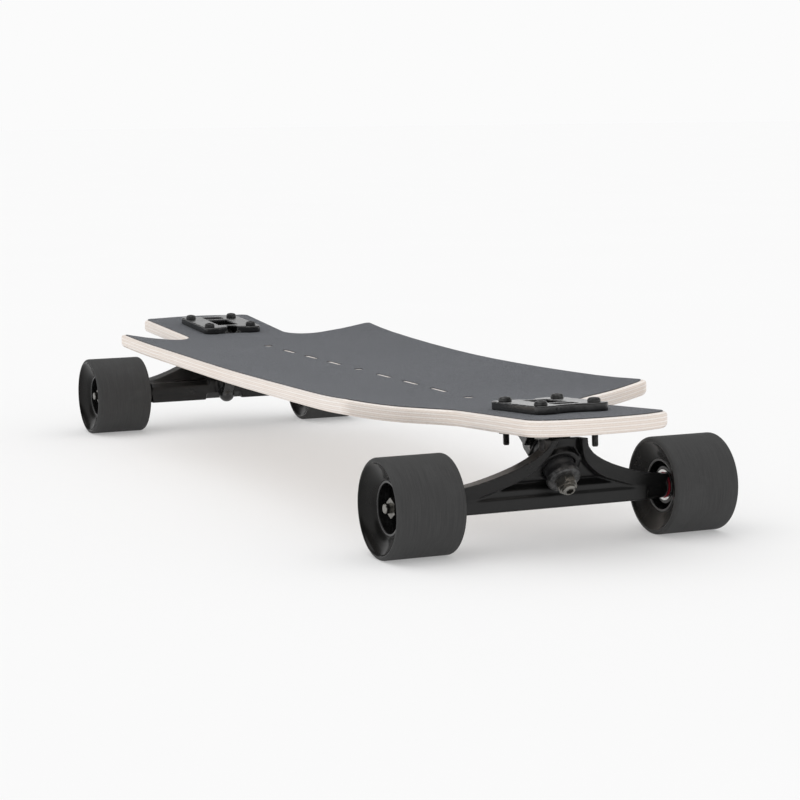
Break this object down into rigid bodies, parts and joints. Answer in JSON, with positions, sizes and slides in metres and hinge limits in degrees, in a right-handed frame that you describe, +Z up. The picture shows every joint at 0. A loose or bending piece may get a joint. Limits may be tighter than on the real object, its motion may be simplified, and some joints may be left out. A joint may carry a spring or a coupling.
{
  "type": "longboard skateboard",
  "caption": "Drop-through longboard: laminated deck with grip tape, two sprung reverse-kingpin trucks and wide urethane wheels that roll and steer.",
  "frame": {"origin": "on the ground, below the middle of the board", "axes": "+X along the board towards its front, +Y to the rider's left, +Z up"},
  "size_m": [0.8378, 0.265, 0.1052],
  "materials": {
    "maple": "clear lacquered maple veneer",
    "grip": "gritty black grip tape",
    "cast_black": "satin black powder coat",
    "cup_plastic": "moulded",
    "plated_steel": "zinc plated",
    "dark_steel": "black oxide",
    "bushing_urethane": "cast urethane",
    "black_screw": "black oxide",
    "wheel_urethane": "ground urethane",
    "core_plastic": "glossy moulded",
    "bearing_steel": "ground steel",
    "seal_red": "moulded rubber",
    "aluminium_spacer": "turned"
  },
  "bodies": {
    "board": {"deck": "maple", "grip_tape": "grip", "front_baseplate": "cast_black", "front_pivot_cup": "cup_plastic", "front_kingpin": "plated_steel", "front_boardside_washer": "dark_steel", "front_boardside_bushing": "bushing_urethane", "front_roadside_bushing": "bushing_urethane", "front_roadside_washer": "dark_steel", "front_kingpin_nut": "plated_steel", "front_mounting_screws": "black_screw", "front_mounting_nuts": "plated_steel", "rear_baseplate": "cast_black", "rear_pivot_cup": "cup_plastic", "rear_kingpin": "plated_steel", "rear_boardside_washer": "dark_steel", "rear_boardside_bushing": "bushing_urethane", "rear_roadside_bushing": "bushing_urethane", "rear_roadside_washer": "dark_steel", "rear_kingpin_nut": "plated_steel", "rear_mounting_screws": "black_screw", "rear_mounting_nuts": "plated_steel"},
    "front_hanger": {"front_hanger": "cast_black", "front_axle": "plated_steel", "front_speed_washers": "plated_steel", "front_axle_nuts": "plated_steel", "front_left_bearing_inner_races": "bearing_steel", "front_left_bearing_spacer": "aluminium_spacer", "front_right_bearing_inner_races": "bearing_steel", "front_right_bearing_spacer": "aluminium_spacer"},
    "front_left_wheel": {"front_left_tyre": "wheel_urethane", "front_left_wheel_core": "core_plastic", "front_left_bearing_outer_races": "bearing_steel", "front_left_bearing_seals": "seal_red", "front_left_bearing_balls": "bearing_steel"},
    "front_right_wheel": {"front_right_tyre": "wheel_urethane", "front_right_wheel_core": "core_plastic", "front_right_bearing_outer_races": "bearing_steel", "front_right_bearing_seals": "seal_red", "front_right_bearing_balls": "bearing_steel"},
    "rear_hanger": {"rear_hanger": "cast_black", "rear_axle": "plated_steel", "rear_speed_washers": "plated_steel", "rear_axle_nuts": "plated_steel", "rear_left_bearing_inner_races": "bearing_steel", "rear_left_bearing_spacer": "aluminium_spacer", "rear_right_bearing_inner_races": "bearing_steel", "rear_right_bearing_spacer": "aluminium_spacer"},
    "rear_left_wheel": {"rear_left_tyre": "wheel_urethane", "rear_left_wheel_core": "core_plastic", "rear_left_bearing_outer_races": "bearing_steel", "rear_left_bearing_seals": "seal_red", "rear_left_bearing_balls": "bearing_steel"},
    "rear_right_wheel": {"rear_right_tyre": "wheel_urethane", "rear_right_wheel_core": "core_plastic", "rear_right_bearing_outer_races": "bearing_steel", "rear_right_bearing_seals": "seal_red", "rear_right_bearing_balls": "bearing_steel"}
  },
  "joints": [
    {"name": "front_steer", "type": "hinge", "parent": "board", "child": "front_hanger", "pos_m": [0.34662, 0, 0.05905], "axis": [0.6617, 0, 0.7498], "range_deg": [-20, 20], "stiffness_Nm_per_rad": 60, "deforming": ["front_boardside_bushing", "front_roadside_bushing"]},
    {"name": "front_left_spin", "type": "hinge", "parent": "front_hanger", "child": "front_left_wheel", "pos_m": [0.3386, 0.1068, 0.035], "axis": [0, 1, 0], "continuous": true},
    {"name": "front_right_spin", "type": "hinge", "parent": "front_hanger", "child": "front_right_wheel", "pos_m": [0.3386, -0.1068, 0.035], "axis": [0, 1, 0], "continuous": true},
    {"name": "rear_steer", "type": "hinge", "parent": "board", "child": "rear_hanger", "pos_m": [-0.34662, 0, 0.05905], "axis": [-0.6617, 0, 0.7498], "range_deg": [-20, 20], "stiffness_Nm_per_rad": 60, "deforming": ["rear_boardside_bushing", "rear_roadside_bushing"]},
    {"name": "rear_left_spin", "type": "hinge", "parent": "rear_hanger", "child": "rear_left_wheel", "pos_m": [-0.3386, 0.1068, 0.035], "axis": [0, 1, 0], "continuous": true},
    {"name": "rear_right_spin", "type": "hinge", "parent": "rear_hanger", "child": "rear_right_wheel", "pos_m": [-0.3386, -0.1068, 0.035], "axis": [0, 1, 0], "continuous": true}
  ]
}
